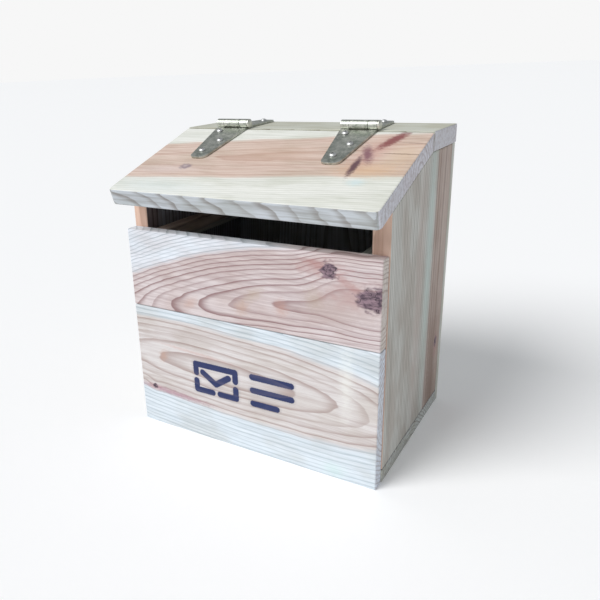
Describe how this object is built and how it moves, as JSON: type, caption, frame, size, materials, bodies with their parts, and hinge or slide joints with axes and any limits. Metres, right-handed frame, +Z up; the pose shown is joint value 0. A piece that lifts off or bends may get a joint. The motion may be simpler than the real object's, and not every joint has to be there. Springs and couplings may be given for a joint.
{
  "type": "wall mounted mailbox",
  "caption": "Wooden post box for a wall, with a sloping hinged lid and an open letter slot above board front panels.",
  "frame": {"origin": "point of the back panel's rear face that meets the wall, midway between the sides and 150 mm above the underside", "axes": "+X to the box's right seen from the front, +Y into the wall (the front faces -Y), +Z up"},
  "size_m": [0.299, 0.2335, 0.3463],
  "materials": {
    "lid_pine": "planed treated pine, unpainted, with heartwood and pale green sapwood",
    "rail_pine": "planed treated pine, pale green sapwood",
    "upper_front_pine": "planed treated pine, pink heartwood with two knots",
    "front_pine": "planed treated pine with a stencilled navy paint mark",
    "side_pine": "planed treated pine, upright grain",
    "floor_pine": "planed treated pine",
    "back_pine": "planed treated pine",
    "batten_pine": "planed pine batten",
    "hinge_zinc": "zinc-plated mild steel, dull",
    "screw_zinc": "zinc-plated steel, bright"
  },
  "bodies": {
    "box": {"top_rail": "rail_pine", "upper_front_board": "upper_front_pine", "lower_front_board": "front_pine", "left_side_panel": "side_pine", "right_side_panel": "side_pine", "floor_board": "floor_pine", "back_panel": "back_pine", "left_side_cleat": "batten_pine", "right_side_cleat": "batten_pine", "left_corner_batten": "batten_pine", "right_corner_batten": "batten_pine", "hanging_batten": "batten_pine", "left_hinge_rail_leaf": "hinge_zinc", "left_hinge_pin": "hinge_zinc", "right_hinge_rail_leaf": "hinge_zinc", "right_hinge_pin": "hinge_zinc", "left_rail_leaf_screw_1": "screw_zinc", "left_rail_leaf_screw_2": "screw_zinc", "left_rail_leaf_screw_3": "screw_zinc", "right_rail_leaf_screw_1": "screw_zinc", "right_rail_leaf_screw_2": "screw_zinc", "right_rail_leaf_screw_3": "screw_zinc", "floor_screw_1": "screw_zinc", "floor_screw_2": "screw_zinc", "floor_screw_3": "screw_zinc", "floor_screw_4": "screw_zinc", "back_screw_1": "screw_zinc", "back_screw_2": "screw_zinc", "back_screw_3": "screw_zinc", "back_screw_4": "screw_zinc", "back_screw_5": "screw_zinc", "back_screw_6": "screw_zinc", "back_screw_7": "screw_zinc", "back_screw_8": "screw_zinc", "rail_screw_1": "screw_zinc", "rail_screw_2": "screw_zinc", "cleat_screw_1": "screw_zinc", "cleat_screw_2": "screw_zinc", "cleat_screw_3": "screw_zinc", "cleat_screw_4": "screw_zinc", "front_board_screw_1": "screw_zinc", "front_board_screw_2": "screw_zinc", "front_board_screw_3": "screw_zinc", "front_board_screw_4": "screw_zinc", "front_board_screw_5": "screw_zinc", "front_board_screw_6": "screw_zinc", "front_board_screw_7": "screw_zinc", "front_board_screw_8": "screw_zinc", "corner_screw_1": "screw_zinc", "corner_screw_2": "screw_zinc"},
    "lid": {"lid_board": "lid_pine", "left_hinge_lid_leaf": "hinge_zinc", "right_hinge_lid_leaf": "hinge_zinc", "left_lid_leaf_screw_1": "screw_zinc", "left_lid_leaf_screw_2": "screw_zinc", "left_lid_leaf_screw_3": "screw_zinc", "right_lid_leaf_screw_1": "screw_zinc", "right_lid_leaf_screw_2": "screw_zinc", "right_lid_leaf_screw_3": "screw_zinc"}
  },
  "joints": [
    {"name": "lid_hinge", "type": "hinge", "parent": "box", "child": "lid", "pos_m": [0, -0.08326, 0.19134], "axis": [-1, 0, 0], "range_deg": [0, 140]}
  ]
}
